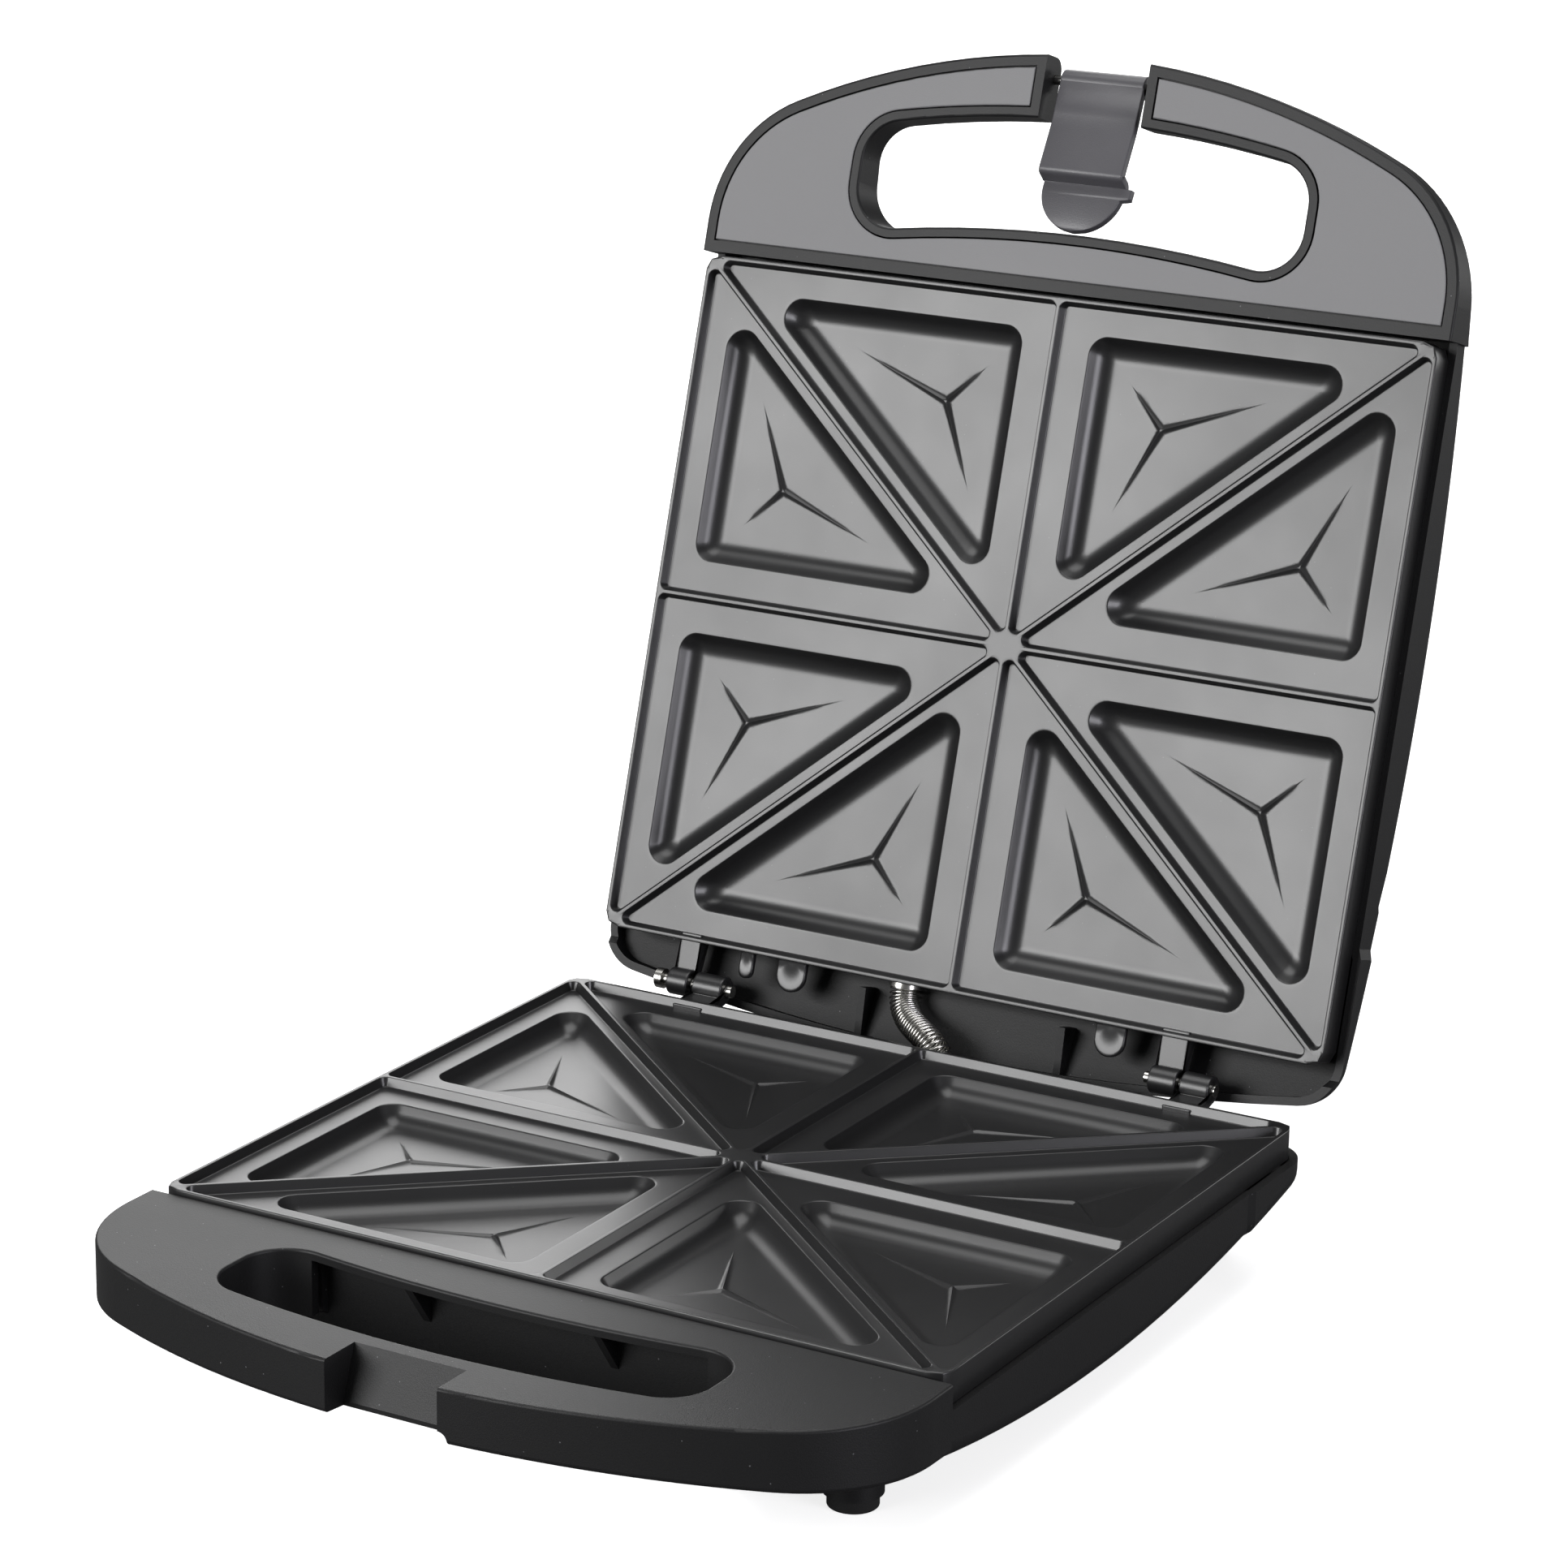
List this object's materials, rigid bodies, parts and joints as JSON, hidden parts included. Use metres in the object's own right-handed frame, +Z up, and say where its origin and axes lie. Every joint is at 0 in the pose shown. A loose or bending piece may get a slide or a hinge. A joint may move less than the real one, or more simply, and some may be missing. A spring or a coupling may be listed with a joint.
{
  "type": "sandwich toaster",
  "caption": "Countertop sandwich toaster, open on its stop, with ribbed triangular-pocket plates, looped handles, a swinging latch and short feet.",
  "frame": {"origin": "on the table, under the centre of the lower plate", "axes": "+X to the right along the hinge, +Y from the handle to the hinge, +Z up"},
  "size_m": [0.256, 0.3982, 0.3293],
  "materials": {
    "body_plastic": "dark grey moulded plastic with a fine satin texture",
    "handle_panel": "lighter grey satin plastic",
    "latch_plastic": "mid grey satin plastic",
    "lower_coating": "black non-stick coating with fine metallic flecks",
    "upper_coating": "dark grey non-stick coating with a satin sheen",
    "steel": "bright steel wire, pins and screws",
    "heater_sheath": "dull heat-toned steel tube",
    "reflector": "plain rolled aluminium sheet",
    "rubber": "black rubber",
    "terminal_plastic": "cream heat-resistant plastic",
    "thermostat_ceramic": "off-white ceramic",
    "red_lens": "clear red plastic",
    "green_lens": "clear green plastic",
    "lamp_glass": "clear glass"
  },
  "bodies": {
    "base": {"base_shell": "body_plastic", "lower_plate": "lower_coating", "lower_heating_element": "heater_sheath", "lower_reflector": "reflector", "lower_reflector_screws": "steel", "lower_thermostat": "thermostat_ceramic", "thermal_fuse": "steel", "terminal_block": "terminal_plastic", "terminal_screws": "steel", "cord_inlet_bush": "rubber", "lower_plate_screws": "steel", "foot_front_left": "rubber", "foot_front_right": "rubber", "foot_rear_left": "rubber", "foot_rear_right": "rubber", "hinge_pin_left": "steel", "hinge_pin_right": "steel", "base_sleeve_anchor": "body_plastic", "spring_sleeve": "steel"},
    "lid": {"lid_shell": "body_plastic", "lid_handle_panel": "handle_panel", "upper_plate": "upper_coating", "upper_heating_element": "heater_sheath", "upper_reflector": "reflector", "upper_reflector_screws": "steel", "upper_thermostat": "thermostat_ceramic", "upper_plate_screws": "steel", "lid_screw_caps": "body_plastic", "power_lens": "red_lens", "ready_lens": "green_lens", "indicator_lamps": "lamp_glass", "lid_sleeve_anchor": "steel", "latch_pin": "steel"},
    "latch": {"latch": "latch_plastic"}
  },
  "joints": [
    {"name": "lid_hinge", "type": "hinge", "parent": "base", "child": "lid", "pos_m": [0, 0.121, 0.04], "axis": [1, 0, 0], "range_deg": [0, 106.4], "deforming": ["spring_sleeve"]},
    {"name": "latch_pivot", "type": "hinge", "parent": "lid", "child": "latch", "pos_m": [0, 0.21335, 0.32085], "axis": [-1, 0, 0], "range_deg": [0, 103.5]}
  ]
}
